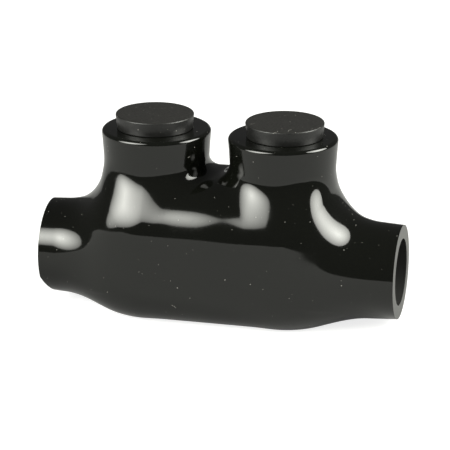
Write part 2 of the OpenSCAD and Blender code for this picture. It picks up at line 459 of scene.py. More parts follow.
@dataclass(frozen=True)
class SkinHalf:
    """One half of the skin, sampled on rays in the side view from under the tower.

    Each ray runs from the tower's axis to the side outline. A point at the share sin(t) of a ray,
    with t even from 0 to 90 degrees, is pushed out along Y to the skin. Front and back mirror each other.
    """

    form: SkinForm
    side: Side
    reach: float
    trim: KnifeTrim
    rows: int = 48
    port_rays: int = 24
    shoulder_rays: int = 70
    lip_rays: int = 9
    rim_rays: int = 72
    saddle_rays: int = 44
    middle_rays: int = 64
    base_rays: int = 40
    rise_rays: int = 34
    fine: int = 40
    halvings: int = 44
    hair: float = 1e-6

    def inside(self, x: Array, z: Array, y: Array | float = 0.0) -> Array:
        """True where a point lies in the vinyl."""
        return self.form.distance(x, y, z, self.reach) < 0.0

    def halve(self, low: Array, high: Array, within: Callable[[Array], Array]) -> Array:
        """Halves each span until its inner end meets the skin.

        Args:
            low: Inner ends of the spans.
            high: Outer ends of the spans.
            within: Function that is true for a value inside the vinyl.

        Returns:
            The values where the skin is crossed.
        """
        for _ in range(self.halvings):
            middle = 0.5 * (low + high)
            kept = within(middle)
            low = np.where(kept, middle, low)
            high = np.where(kept, high, middle)
        return low

    def width(self, x: Array, z: Array) -> Array:
        """Half the width of the vinyl at each place of the side view."""
        start = np.zeros_like(x)
        return self.halve(start, start + 2.0 * self.form.bar_side, lambda y: self.inside(x, z, y))

    def on_outline(self, angle: Array) -> Array:
        """Finds where rays reach the side outline.

        Args:
            angle: Angles of the rays.

        Returns:
            Array of (n, 2) points, x and z.
        """
        way = np.stack([np.cos(angle), np.sin(angle)])
        centre = self.form.centre[:, None]
        longest = np.minimum(2.0 * self.reach, self.form.tower_x / np.maximum(-way[0], self.hair))
        far = self.halve(np.zeros_like(angle), longest, lambda far: self.inside(*(centre + far * way)))
        return (centre + far * way).T

    def even_outline(self, first: Array, last: Array, count: int) -> Array:
        """Evenly spaced points of the outline between two of its points, leaving out the last.

        Args:
            first: Point that the stretch starts at.
            last: Point that it ends at, counter-clockwise.
            count: Number of points.

        Returns:
            Array of (count, 2) points.
        """
        ends = [np.arctan2(*(point - self.form.centre)[::-1]) for point in (first, last)]
        ends[1] += 2.0 * np.pi * (ends[1] < ends[0])
        angle = np.linspace(ends[0], ends[1], self.fine * count)
        run = run_along(self.on_outline(angle))
        even = np.interp(np.arange(1, count) * run[-1] / count, run, angle)
        return np.vstack([first, self.on_outline(even)])

    def port_ends(self) -> Array:
        """Spaces out the cut end by the sine of even turns, with a point where its trim starts.

        Returns:
            Array of (n, 2) points, from the lowest to the highest.
        """
        form, trim, low_r = self.form, self.trim, self.form.port_end_r
        share = np.sin(np.radians(np.linspace(0.0, 90.0, self.port_rays + 1)))
        # A trimmed end lies where the port is wider, so its lowest point is found by repeating.
        for _ in range(self.halvings):
            low_r = float(form.port_r(self.reach - trim.setback(low_r), self.reach))
        drops = low_r * share
        drops[np.argmin(np.abs(drops - trim.drop))] = trim.drop
        lower = np.stack([self.reach - trim.setback(drops), form.port_axis_z - drops], axis=-1)[::-1]
        rises = form.port_end_r * share[1:]
        upper = np.stack([np.full_like(rises, self.reach), form.port_axis_z + rises], axis=-1)
        return np.vstack([lower, upper])

    def lip(self, sense: int) -> Array:
        """Spaces out the lip's rounding in the side view: a quarter circle, mirrored for the inner side.

        Args:
            sense: 1 for the outer side of the tower, -1 for the inner.

        Returns:
            Array of (n, 2) points, from the widest place to the rim.
        """
        form = self.form
        round_edge = arc((form.flat_r, form.rim_z - form.lip_r), form.lip_r, 0.0, 90.0, self.lip_rays)
        return round_edge * [sense, 1.0] + [form.tower_x, 0.0]

    def rim(self) -> Array:
        """Points of the rim in the side view, evenly spaced round its circle, from out to in."""
        across = self.form.flat_r * np.cos(np.linspace(0.0, np.pi, self.rim_rays + 1))
        return np.stack([self.form.tower_x + across, np.full_like(across, self.form.rim_z)], axis=-1)

    def middle(self) -> Array:
        """Spaces out the plane between the halves, evenly along its section.

        Returns:
            Array of (n, 2) points, from the saddle to the base.
        """
        zero = np.zeros(1)
        axis_z, rim_z = self.form.port_axis_z, self.form.rim_z
        top = self.halve(zero + axis_z, zero + rim_z, lambda z: self.inside(zero, z))
        level = np.linspace(top[0], self.hair, self.fine * self.middle_rays)
        run = run_along(np.stack([level, self.width(np.zeros_like(level), level)], axis=-1))
        height = np.interp(np.linspace(0.0, run[-1], self.middle_rays + 1), run, level)
        return np.stack([np.zeros_like(height), height], axis=-1)

    def base(self) -> Array:
        """Spaces out the flat base by the sine of even turns, closer together towards its round tip.

        Returns:
            Array of (n, 2) points, from the middle to the tip.
        """
        zero = np.zeros(1)
        tip = self.halve(zero, zero + self.reach, lambda x: self.inside(x, zero + self.hair))
        along = tip[0] * np.sin(np.linspace(0.0, 0.5 * np.pi, self.base_rays + 1))
        return np.stack([along, np.full_like(along, self.hair)], axis=-1)

    def build(self, draft: Draft, middle_x: float) -> None:
        """Adds this half's skin, cut end, rim and base to a draft.

        Args:
            draft: The cover's draft.
            middle_x: Where the middle between the towers lies along X.
        """
        form = self.form
        port, rim, middle, base = self.port_ends(), self.rim(), self.middle(), self.base()
        lip_out, lip_in = self.lip(1), self.lip(-1)[::-1]
        # In the order of Stretch, each without its last point, which starts the next.
        stretches = [
            port[:-1],
            self.even_outline(port[-1], lip_out[0], self.shoulder_rays),
            lip_out[:-1],
            rim[:-1],
            lip_in[:-1],
            self.even_outline(lip_in[-1], middle[0], self.saddle_rays),
            middle[:-1],
            base[:-1],
            self.even_outline(base[-1], port[0], self.rise_rays),
        ]
        starts = np.cumsum([0] + [len(stretch) for stretch in stretches])
        spans = {stretch: slice(starts[stretch], starts[stretch + 1] + 1) for stretch in Stretch}
        ends = np.vstack(stretches)
        share = np.sin(np.linspace(0.0, 0.5 * np.pi, self.rows + 1))
        places = form.centre + (ends - form.centre)[:, None, :] * share[:, None]
        x, z = places[..., 0], places[..., 1]
        y = self.width(x, z)
        for stretch in (Stretch.SHOULDER, Stretch.LIP_OUT, Stretch.LIP_IN, Stretch.SADDLE, Stretch.RISE):
            y[spans[stretch], -1] = 0.0
        y[0, -1] = 0.0
        across = ends[spans[Stretch.RIM], 0] - form.tower_x
        y[spans[Stretch.RIM], -1] = np.sqrt(np.maximum(form.flat_r**2 - across**2, 0.0))
        z = np.where(z <= self.hair, 0.0, z)
        self.join(draft, np.stack([middle_x + self.side.value * x, y, z], axis=-1), spans)

    def join(self, draft: Draft, points: Array, spans: dict[Stretch, slice]) -> None:
        """Adds front and back of a sampled half and closes its flat ends.

        Args:
            draft: The cover's draft.
            points: Grid of rays by rows, for the back.
            spans: Rays of each stretch, with the first of the next.
        """
        both = [draft.place(points * [1.0, across, 1.0]) for across in (-1.0, 1.0)]
        for numbers in both:
            draft.grid(np.vstack([numbers, numbers[:1]]), CoverFace.DIPPED)
        front, back = both[0][:, -1], both[1][:, -1]
        port = spans[Stretch.PORT]
        depth = self.form.port_axis_z - points[port, -1, 2]
        crease = int(np.argmin(np.abs(depth - self.trim.drop)))
        for span, finish in (
            (spans[Stretch.RIM], CoverFace.DIPPED),
            (spans[Stretch.BASE], CoverFace.DIPPED),
            (slice(0, crease + 1), CoverFace.CUT),
            (slice(crease, port.stop), CoverFace.CUT),
        ):
            draft.cap(np.concatenate([front[span], back[span][::-1]]), finish)


@dataclass(frozen=True)
class BarForm:
    """Extruded bar with bevelled edges and ends."""

    low: Array
    high: Array
    bevel: float = 2.5
    end_bevel: float = 1.5

    @property
    def half(self) -> float:
        """Half the bar's length."""
        return float(self.high[0] - self.low[0]) / 2.0

    def shell(self, sides: int, ends: int, grow: float = 0.0) -> Draft:
        """Closed form of the bar: four eight-sided sections along X, and two ends.

        Args:
            sides: Finish number of the long faces.
            ends: Finish number of the two ends.
            grow: Gap added all round.

        Returns:
            The form's draft.
        """
        low, high = self.low - grow, self.high + grow
        sections = []
        for x, cut in (
            (low[0], self.end_bevel),
            (low[0] + self.end_bevel, 0.0),
            (high[0] - self.end_bevel, 0.0),
            (high[0], self.end_bevel),
        ):
            wide, narrow = high[1] - cut, high[1] - self.bevel
            bottom, top = low[2] + self.bevel - cut, high[2] - self.bevel + cut
            right = [(narrow, low[2]), (wide, bottom), (wide, top), (narrow, high[2])]
            left = [(-y, z) for y, z in reversed(right)]
            sections.append([(x, y, z) for y, z in right + left + right[:1]])
        draft = Draft()
        numbers = draft.place(np.array(sections))
        draft.grid(numbers, sides)
        for loop in (numbers[0, :-1], numbers[-1, :-1]):
            draft.cap(loop, ends)
        return draft


def rod(way: Way, origin: Point, r: float, start: float, end: float, finish: int) -> Draft:
    """Closed cylinder along an axis, from start to end as measured from the origin, used as a drill."""
    profile = np.array([(0.0, start), (r, start), (r, end), (0.0, end)])
    return Draft().sheet(turned(profile, way, origin), finish)


@dataclass(frozen=True)
class Cover:
    """The dip-moulded vinyl cover, bored for the cables, the bar and the plugs."""

    form: SkinForm
    bar: BarForm
    middle_x: float
    reach: dict[Side, float]
    hole_x: dict[Side, float]
    port_bore_r: float = 8.35
    tower_bore_r: float = 8.6
    bar_gap: float = 0.05
    past: float = 1.0

    def tools(self) -> list[Draft]:
        """Drafts the forms that hollow the cover.

        Returns:
            The bar's pocket, and a port's and a tower's bore for each half.
        """
        drafts = [self.bar.shell(CoverFace.INSIDE, CoverFace.INSIDE, self.bar_gap)]
        axis = (self.middle_x, 0.0, self.form.port_axis_z)
        foot, top = self.bar.high[2] - self.bar.bevel, self.form.rim_z + self.past
        for side in Side:
            start = side.value * (self.bar.half - self.bar.end_bevel)
            end = side.value * (self.reach[side] + self.past)
            hole = (self.hole_x[side], 0.0, 0.0)
            drafts.append(rod(Way.ALONG_X, axis, self.port_bore_r, start, end, CoverFace.INSIDE))
            drafts.append(rod(Way.ALONG_Z, hole, self.tower_bore_r, foot, top, CoverFace.INSIDE))
        return drafts

    def build(self) -> Piece:
        """Makes the cover: both halves of the skin, then its bores.

        Returns:
            The cover's object.
        """
        draft = Draft()
        for side, trim in ((Side.LEFT, KnifeTrim(drop=5.6, lean_deg=21.0)), (Side.RIGHT, KnifeTrim())):
            SkinHalf(self.form, side, self.reach[side], trim).build(draft, self.middle_x)
        piece = draft.to_object("vinyl_cover", len(CoverFace))
        carve(piece, self.tools())
        return piece

    def dress(self, piece: Piece, looks: "Looks") -> None:
        """Gives the cover its gloss outside, cut ends and satin inside."""
        paint(piece, [looks.dipped, looks.cut, looks.inside])
        attach(piece, "insulating_cover", "splice_body")


@dataclass(frozen=True)
class Thread:
    """Screw thread of sixty degrees, with flats on its crests and roots."""

    pitch: float = 2.0
    depth: float = 0.85
    crest: float = 0.14
    root: float = 0.2

    def cut(self, angle: Array, height: Array) -> Array:
        """Depth below the crest: a triangle wave along the helix, held flat at both ends.

        Args:
            angle: Place round the axis.
            height: Place along the axis.

        Returns:
            Depth at each place.
        """
        phase = np.mod(height / self.pitch - angle / (2.0 * np.pi), 1.0)
        wave = np.abs(2.0 * phase - 1.0)
        return self.depth * np.clip((wave - self.crest) / (1.0 - self.crest - self.root), 0.0, 1.0)


@dataclass(frozen=True)
class Block:
    """The extruded bar, bored from both ends for the conductors and tapped for the set screws."""

    bar: BarForm
    middle_x: float
    hole_x: dict[Side, float]
    axis_z: float
    thread: Thread
    wire_r: float = 6.4
    wire_stop: float = 4.0
    lead: float = 0.9
    tap_r: float = 7.06
    tap_depth: float = 2.0
    groove: float = 0.55
    past: float = 1.0
    columns: int = 120
    row_step: float = 0.125

    def wire_drill(self, side: Side) -> Draft:
        """Drafts the drill for a conductor: a cylinder, with a cone at the mouth.

        Args:
            side: The half that it bores.

        Returns:
            The drill's draft.
        """
        profile = np.array([
            (0.0, self.wire_stop / 2.0),
            (self.wire_r, self.wire_stop / 2.0),
            (self.wire_r, self.bar.half - self.lead),
            (self.wire_r + 2.0 * self.lead, self.bar.half + self.lead),
            (0.0, self.bar.half + self.lead),
        ]) * [1.0, side.value]
        origin = (self.middle_x, 0.0, self.axis_z)
        return Draft().sheet(turned(profile, Way.ALONG_X, origin), BlockFace.BORED)

    def tap(self, side: Side) -> Draft:
        """Drafts the tap for a set screw: a cylinder with its thread outward, so that the screw slides clear.

        The radius at a turn and a height is the hole's, plus the groove's depth less the thread's cut.

        Args:
            side: The half that it taps.

        Returns:
            The tap's draft.
        """
        angle = full_turn(self.columns)
        foot, top = self.axis_z - self.tap_depth, self.bar.high[2] + self.past
        height = np.arange(foot, top, self.row_step)[:, None]
        share = 1.0 - self.thread.cut(angle, height) / self.thread.depth
        radius = self.tap_r + self.groove * share * ease((height - height[0]) / self.thread.pitch)
        radius = np.pad(radius, ((1, 1), (0, 0)))
        height = np.pad(height, ((1, 1), (0, 0)), mode="edge")
        origin = (self.hole_x[side], 0.0, 0.0)
        return Draft().sheet(rings(angle, radius, height, Way.ALONG_Z, origin), BlockFace.BORED)

    def build(self) -> Piece:
        """Makes the bar and drills and taps it.

        Returns:
            The block's object.
        """
        shell = self.bar.shell(BlockFace.EXTRUDED, BlockFace.SAWN)
        piece = shell.to_object("aluminium_block", len(BlockFace))
        carve(piece, [make(side) for side in Side for make in (self.wire_drill, self.tap)])
        return piece

    def dress(self, piece: Piece, looks: "Looks") -> None:
        """Gives the bar its die lines, sawn ends and drilled bores."""
        paint(piece, [looks.extruded, looks.sawn, looks.machined])
        attach(piece, "connector_block", "splice_body")


@dataclass(frozen=True)
class SetScrew:
    """A socket set screw, threaded over its whole length and bevelled at both ends."""

    side: Side
    low: Array
    high: Array
    thread: Thread
    bevel: float = 1.1
    key_af: float = 6.35
    key_depth: float = 8.4
    key_lead: float = 0.3
    drill: float = 1.0
    columns: int = 96
    rows: int = 121

    def build(self) -> Piece:
        """Makes the screw as rings about its axis, from the tip round to the bottom of the socket.

        A thread ring's radius is the screw's less the thread's cut, held inside both bevels. A socket
        ring's radius is half the key's width over the cosine of the turn from the nearest flat.

        Returns:
            The screw's object.
        """
        angle = full_turn(self.columns)
        screw_r = (self.high[0] - self.low[0]) / 2.0
        bottom, top = self.low[2], self.high[2]
        height = np.linspace(bottom, top, self.rows)[:, None]
        threaded = screw_r - self.thread.cut(angle, height)
        bevelled = screw_r - self.bevel + np.minimum(height - bottom, top - height)
        outside = np.minimum(threaded, bevelled)
        sixth = np.radians(60.0)
        flat = 0.5 * self.key_af / np.cos(np.mod(angle + sixth / 2.0, sixth) - sixth / 2.0)
        nought = np.zeros_like(angle)
        floor = top - self.key_depth
        radius = np.vstack([nought, outside, flat + self.key_lead, flat, flat, nought])
        levels = [top, top - self.key_lead, floor, floor - self.drill]
        level = np.concatenate([[bottom], height[:, 0], levels])[:, None]
        middle = (self.low + self.high) / 2.0
        points = rings(angle, radius, level, Way.ALONG_Z, (middle[0], middle[1], 0.0))
        return Draft().sheet(points).to_object(f"{self.side.word}_threaded_screw", 1)

    def dress(self, piece: Piece, looks: "Looks") -> None:
        """Gives the screw its turned aluminium."""
        paint(piece, [looks.machined])
        attach(piece, f"{self.side.word}_set_screw", f"{self.side.word}_screw")


@dataclass(frozen=True)
class Plug:
    """A moulded stopper: a shallow tapered head on a hollow stem."""

    side: Side
    low: Array
    high: Array
    rim_z: float
    seat_r: float = 9.45
    stem_r: float = 8.5
    wall: float = 2.2
    lead: float = 0.9
    foot_edge: float = 0.3
    edge: float = 0.35
    seat_edge: float = 0.25
    steps: int = 8
    seat_steps: int = 6
    flat_share: float = 0.6

    def build(self) -> Piece:
        """Makes the plug by carrying its profile, with rounded edges, round the hole's axis.

        Returns:
            The plug's object.
        """
        top_r = (self.high[0] - self.low[0]) / 2.0
        top, foot, seat = self.high[2], self.low[2], self.rim_z
        core_r, inner = self.stem_r - self.wall, self.wall / 2.0
        seat_middle = (self.seat_r - self.seat_edge, seat + self.seat_edge)
        profile = np.vstack([
            [(0.0, seat)],
            arc((core_r - inner, seat - inner), inner, 90.0, 0.0, self.steps),
            [(core_r, foot + self.foot_edge), (core_r + self.foot_edge, foot)],
            [(self.stem_r - self.lead, foot), (self.stem_r, foot + self.lead), (self.stem_r, seat)],
            arc(seat_middle, self.seat_edge, -90.0, 0.0, self.seat_steps),
            arc((top_r - self.edge, top - self.edge), self.edge, 0.0, 90.0, self.steps),
            [(top_r * self.flat_share, top), (0.0, top)],
        ])
        middle = (self.low + self.high) / 2.0
        points = turned(profile, Way.ALONG_Z, (middle[0], middle[1], 0.0))
        return Draft().sheet(points).to_object(f"{self.side.word}_stopper", 1)

    def dress(self, piece: Piece, looks: "Looks") -> None:
        """Gives the plug its matt moulded vinyl."""
        paint(piece, [looks.plug])
        attach(piece, f"{self.side.word}_access_plug", f"{self.side.word}_plug")


def paint(piece: Piece, finishes: list["Finish"]) -> None:
    """Puts finishes on a piece and shades it smooth, with hard lines where faces meet at more than SHARP_DEG.

    Args:
        piece: A piece with empty slots.
        finishes: A finish for each slot, in order.
    """
    mesh = piece.data
    for slot, finish in enumerate(finishes):
        mesh.materials[slot] = finish.make()
    mesh.polygons.foreach_set("use_smooth", np.ones(len(mesh.polygons), dtype=bool))
    mesh.set_sharp_from_angle(angle=math.radians(SHARP_DEG))
    mesh.update()


def attach(piece: Piece, node: str, body: str) -> None:
    """Hangs a piece on the body that it moves with and stands it in for a node of the frame.

    Args:
        piece: The new piece.
        node: Node that it replaces.
        body: Body that carries it.
    """
    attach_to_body(piece, body)
    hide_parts(node)
    log.info("%s: %d faces, rides %s", piece.name, len(piece.data.polygons), body)


def linear(colour: str) -> tuple[float, float, float, float]:
    """Turns an sRGB hex colour into linear red, green and blue, with full alpha."""
    part = np.array([int(colour[i:i + 2], 16) for i in (1, 3, 5)]) / 255.0
    return (*np.where(part <= 0.04045, part / 12.92, ((part + 0.055) / 1.055) ** 2.4).tolist(), 1.0)


def add_node(
    tree: bpy.types.NodeTree, kind: str, inputs: Inputs | None = None, **settings: Any
) -> Node:
    """Adds a shader node with its settings and links.

    Args:
        tree: Node tree of a material, a lamp or the world.
        kind: Node class without its common prefix.
        inputs: For each input its value, the socket that feeds it, or a node whose first output does.
        settings: Properties of the node.

    Returns:
        The node.
    """
    node = tree.nodes.new(f"ShaderNode{kind}")
    for key, value in settings.items():
        setattr(node, key, value)
    for key, value in (inputs or {}).items():
        if isinstance(value, Node):
            value = value.outputs[0]
        if isinstance(value, Socket):
            tree.links.new(value, node.inputs[key])
        else:
            node.inputs[key].default_value = value
    return node


def node_adder(owner: Any) -> Adder:
    """Empties the node tree of a material, a lamp or the world.

    Args:
        owner: What the tree belongs to.

    Returns:
        The function that adds nodes to it.
    """
    owner.use_nodes = True
    owner.node_tree.nodes.clear()
    return partial(add_node, owner.node_tree)


def per_metre(size: float) -> float:
    """Scale of a pattern, in Object coordinates, whose features are this many millimetres apart."""
    return 1.0 / (size * MM)


@dataclass(frozen=True)
class Dust:
    """Settled dust: round specks, most of them small, a few bent fibres, and a pale film on faces that look
    up, partly dust and partly painted light from above.
    """

    colour: str = "#aaa7a1"
    rough: float = 0.9
    apart: float = 0.8
    speck: float = 0.125
    speck_core: float = 0.6
    small: float = 3.0
    share: float = 0.6
    upright: float = 0.4
    facing: Pair = (-0.2, 0.9)
    top_haze_and_light: float = 0.0
    film_vary: float = 0.5
    film_facing: float = 0.3
    mottle: float = 0.5
    fibre: float = 0.07
    fibre_apart: float = 16.0
    fibre_ends: Pair = (0.64, 0.66)
    bend: float = 1.9

    def cover(self, add: Adder, place: Socket) -> Node:
        """Makes the dust's cover, from 0 on clean vinyl to 1 in a speck or a fibre.

        Args:
            add: Adds a node to the finish.
            place: Object coordinates.

        Returns:
            The node that holds the cover.
        """
        normal = add("NewGeometry").outputs["Normal"]
        up = add("SeparateXYZ", {0: normal}).outputs[2]
        # Specks: balls in a cloud of points, each of its own size, shown where they meet the vinyl.
        cells = add("TexVoronoi", {"Vector": place, "Scale": per_metre(self.apart)}).outputs
        chance = add("SeparateColor", {0: cells["Color"]}).outputs
        size = add("Math", {0: chance[0], 1: self.small}, operation="POWER")
        near = add("Math", {0: cells["Distance"], 1: size}, operation="DIVIDE")
        reach = self.speck / self.apart
        speck = add("MapRange", {0: near, 1: reach, 2: self.speck_core * reach})
        low, high = self.facing
        few = self.upright * self.share
        settled = add("MapRange", {0: up, 1: low, 2: high, 3: few, 4: self.share})
        picked = add("Math", {0: chance[1], 1: settled}, operation="LESS_THAN")
        specks = add("Math", {0: speck, 1: picked}, operation="MULTIPLY")
        # Fibres: thin shells round far points, which leave arcs on the vinyl, cut short by a noise.
        cells = add("TexVoronoi", {"Vector": place, "Scale": per_metre(self.fibre_apart)}).outputs
        bend, thin = self.bend / self.fibre_apart, 0.5 * self.fibre / self.fibre_apart
        off = add("Math", {0: cells["Distance"], 1: bend}, operation="SUBTRACT")
        far = add("Math", {0: off}, operation="ABSOLUTE")
        line = add("MapRange", {0: far, 1: thin, 2: 0.5 * thin})
        patch = add("TexNoise", {"Vector": place, "Scale": per_metre(2.0 * self.bend), "Detail": 0.0})
        low, high = self.fibre_ends
        ends = add("MapRange", {0: patch, 1: low, 2: high})
        fibres = add("Math", {0: line, 1: ends}, operation="MULTIPLY")
        lying = add("Math", {0: specks, 1: fibres}, operation="MAXIMUM")
        # Film: an uneven pale haze that fades on faces turned away from above; it is partly dust and partly
        # painted light that lightens the tops.
        mottle = add("TexNoise", {"Vector": place, "Scale": per_metre(self.mottle), "Detail": 2.0})
        low, high = (1.0 - self.film_vary) * self.top_haze_and_light, (1.0 + self.film_vary) * self.top_haze_and_light
        thick = add("MapRange", {0: mottle, 1: NOISE_LOW, 2: NOISE_HIGH, 3: low, 4: high})
        upward = add("MapRange", {0: up, 1: self.film_facing, 2: 1.0})
        top_haze_and_light = add("Math", {0: thick, 1: upward}, operation="MULTIPLY")
        return add("Math", {0: lying, 1: top_haze_and_light}, operation="MAXIMUM")

    def lay(self, add: Adder, place: Socket, colour: str, rough: Node) -> Inputs:
        """Lays the dust on a vinyl.

        Args:
            add: Adds a node to the finish.
            place: Object coordinates.
            colour: Colour of the clean vinyl.
            rough: Node that holds the clean vinyl's roughness.

        Returns:
            What feeds the shader's colour and roughness.
        """
        cover = self.cover(add, place)
        tint = add("Mix", {0: cover, 6: linear(colour), 7: linear(self.colour)}, data_type="RGBA")
        dusty = add("Mix", {0: cover, 2: rough, 3: self.rough})
        return {"Base Color": tint.outputs[2], "Roughness": dusty}


@dataclass(frozen=True)
class Finish:
    """A finish of the connector: its name, and what feeds its shader."""

    name: str

    def feed(self, add: Adder, place: Socket) -> Inputs:
        """Makes what feeds the shader; each kind of finish has its own.

        Args:
            add: Adds a node to the finish.
            place: Object coordinates.

        Returns:
            For each socket of the shader, its value or what feeds it.
        """
        raise NotImplementedError

    @cache
    def make(self) -> bpy.types.Material:
        """Builds the finish the first time that it is asked for.

        Returns:
            The material.
        """
        finish = bpy.data.materials.new(self.name)
        add = node_adder(finish)
        shade = add("BsdfPrincipled", self.feed(add, add("TexCoord").outputs["Object"]))
        add("OutputMaterial", {"Surface": shade})
        return finish


@dataclass(frozen=True)
class DippedVinyl(Finish):
    """Black PVC plastisol, hot-dipped and fused: the outside flows out to a wet gloss.

    The eye sees near-black with sharp reflections that bend where the coat sagged and where it ran
    together between the towers, faint smears from handling, hairline scuffs and pale dust.
    """

    name: str = "dipped_black_vinyl"
    middle: float = 0.0
    colour: str = "#0b0c09"
    gloss: Pair = (0.05, 0.11)
    smear: float = 14.0
    smeared: Pair = (0.35, 0.7)
    scuff: float = 1.7
    scuff_turn: Point = (0.4, 0.9, 0.3)
    scuff_stretch: Point = (1.0, 0.12, 1.0)
    scuff_width: float = 0.012
    scuff_rough: float = 0.16
    scuffed: Pair = (0.55, 0.66)
    sag: float = 16.0
    sag_depth: float = 0.25
    run: float = 10.0
    run_depth: float = 0.3
    dust: Dust = Dust()

    def feed(self, add: Adder, place: Socket) -> Inputs:
        """Makes what feeds the shader: dust on a worn gloss, bent by the coat's sag and run.

        Args:
            add: Adds a node to the finish.
            place: Object coordinates.

        Returns:
            For each socket of the shader, its value or what feeds it.
        """
        smear = add("TexNoise", {"Vector": place, "Scale": per_metre(self.smear), "Detail": 4.0})
        (low, high), (clean, dull) = self.smeared, self.gloss
        gloss = add("MapRange", {0: smear, 1: low, 2: high, 3: clean, 4: dull})
        # Scuffs: hairlines where a drawn-out noise has its middle value, kept where the smears are strong.
        drawn = add("Mapping", {"Vector": place, "Rotation": self.scuff_turn, "Scale": self.scuff_stretch})
        hair = add("TexNoise", {"Vector": drawn, "Scale": per_metre(self.scuff), "Detail": 2.0})
        off = add("Math", {0: hair, 1: 0.5}, operation="SUBTRACT")
        far = add("Math", {0: off}, operation="ABSOLUTE")
        line = add("MapRange", {0: far, 1: 0.5 * self.scuff_width, 2: 0.0, 4: self.scuff_rough})
        low, high = self.scuffed
        where = add("MapRange", {0: smear, 1: low, 2: high})
        scuffs = add("Math", {0: line, 1: where}, operation="MULTIPLY")
        rough = add("Math", {0: gloss, 1: scuffs}, operation="ADD")
        # The coat is thickest in the middle between the towers, where it ran together.
        sag = add("TexNoise", {"Vector": place, "Scale": per_metre(self.sag), "Detail": 1.0})
        wave = add("Bump", {"Height": sag, "Distance": self.sag_depth * MM})
        along = add("SeparateXYZ", {0: place})
        aside = add("Math", {0: along, 1: self.middle * MM}, operation="SUBTRACT")
        apart = add("Math", {0: aside}, operation="ABSOLUTE")
        thick = add("MapRange", {0: apart, 1: self.run * MM, 2: 0.0}, interpolation_type="SMOOTHSTEP")
        ran = add("Bump", {"Height": thick, "Distance": self.run_depth * MM, "Normal": wave})
        return {**self.dust.lay(add, place, self.colour, rough), "IOR": VINYL_IOR, "Normal": ran}


@dataclass(frozen=True)
class CutVinyl(Finish):
    """The same vinyl where a knife trimmed the port: matt, paler and streaked by the blade's drag; its pale
    grey is a painted highlight that stands in for the right lamp's light on the cut face.
    """

    name: str = "knife_cut_vinyl_painted_light"
    # Painted highlight: the pale grey base and its lighter streak tone stand in for the right lamp's light on
    # the matt cut; the drag only varies them at random.
    colour: str = "#3c3c3b"
    streak: str = "#5c5c5a"
    streaked: Pair = (0.35, 0.65)
    rough: Pair = (0.32, 0.5)
    drag: float = 0.35
    drag_turn: Point = (0.5, 0.0, 0.0)
    drag_stretch: Point = (1.0, 1.0, 0.08)
    drag_depth: float = 0.012

    def feed(self, add: Adder, place: Socket) -> Inputs:
        """Makes what feeds the shader: a noise drawn out along the blade's way.

        Args:
            add: Adds a node to the finish.
            place: Object coordinates.

        Returns:
            For each socket of the shader, its value or what feeds it.
        """
        drawn = add("Mapping", {"Vector": place, "Rotation": self.drag_turn, "Scale": self.drag_stretch})
        lines = add("TexNoise", {"Vector": drawn, "Scale": per_metre(self.drag), "Detail": 3.0})
        low, high = self.rough
        rough = add("MapRange", {0: lines, 1: NOISE_LOW, 2: NOISE_HIGH, 3: low, 4: high})
        low, high = self.streaked
        share = add("MapRange", {0: lines, 1: low, 2: high})
        # Painted light: the pale tint of the cut face, varied at random along the drag lines.
        tint = add("Mix", {0: share, 6: linear(self.colour), 7: linear(self.streak)}, data_type="RGBA")
        drag = add("Bump", {"Height": lines, "Distance": self.drag_depth * MM})
        return {"Base Color": tint.outputs[2], "Roughness": rough, "IOR": VINYL_IOR, "Normal": drag}


@dataclass(frozen=True)
class MouldVinyl(Finish):
    """Vinyl as a tool's face leaves it: a fine grain that scatters the light, and settled dust.

    The tool's own grain is finer than the render shows, so it is drawn coarser.
    """

    colour: str
    rough: float
    grain: float
    grain_depth: float
    dust: Dust
    vary: float = 0.15

    def feed(self, add: Adder, place: Socket) -> Inputs:
        """Makes what feeds the shader: dust on the grain.

        Args:
            add: Adds a node to the finish.
            place: Object coordinates.

        Returns:
            For each socket of the shader, its value or what feeds it.
        """
        grain = add("TexNoise", {"Vector": place, "Scale": per_metre(self.grain), "Detail": 4.0})
        low, high = (1.0 - self.vary) * self.rough, (1.0 + self.vary) * self.rough
        worn = add("MapRange", {0: grain, 1: NOISE_LOW, 2: NOISE_HIGH, 3: low, 4: high})
        wave = add("Bump", {"Height": grain, "Distance": self.grain_depth * MM})
        return {**self.dust.lay(add, place, self.colour, worn), "IOR": VINYL_IOR, "Normal": wave}


@dataclass(frozen=True)
class Aluminium(Finish):
    """Bare or tin-plated aluminium: pale grey with soft stains, streaked along the way that it was worked.

    Die lines and tool marks are finer than the render shows, so they are drawn coarser.
    """

    rough: Pair
    stretch: Point
    streak: float
    streak_depth: float
    colour: str = "#c9c9c6"
    tarnish: str = "#a9a8a3"
    stain: float = 6.0

    def feed(self, add: Adder, place: Socket) -> Inputs:
        """Makes what feeds the shader: a noise drawn out along the work, and a broad one for stains.

        Args:
            add: Adds a node to the finish.
            place: Object coordinates.

        Returns:
            For each socket of the shader, its value or what feeds it.
        """
        drawn = add("Mapping", {"Vector": place, "Scale": self.stretch})
        lines = add("TexNoise", {"Vector": drawn, "Scale": per_metre(self.streak), "Detail": 4.0})
        low, high = self.rough
        rough = add("MapRange", {0: lines, 1: NOISE_LOW, 2: NOISE_HIGH, 3: low, 4: high})
        stain = add("TexNoise", {"Vector": place, "Scale": per_metre(self.stain), "Detail": 3.0})
        tint = add("Mix", {0: stain, 6: linear(self.colour), 7: linear(self.tarnish)}, data_type="RGBA")
        wave = add("Bump", {"Height": lines, "Distance": self.streak_depth * MM})
        return {"Base Color": tint.outputs[2], "Metallic": 1.0, "Roughness": rough, "Normal": wave}


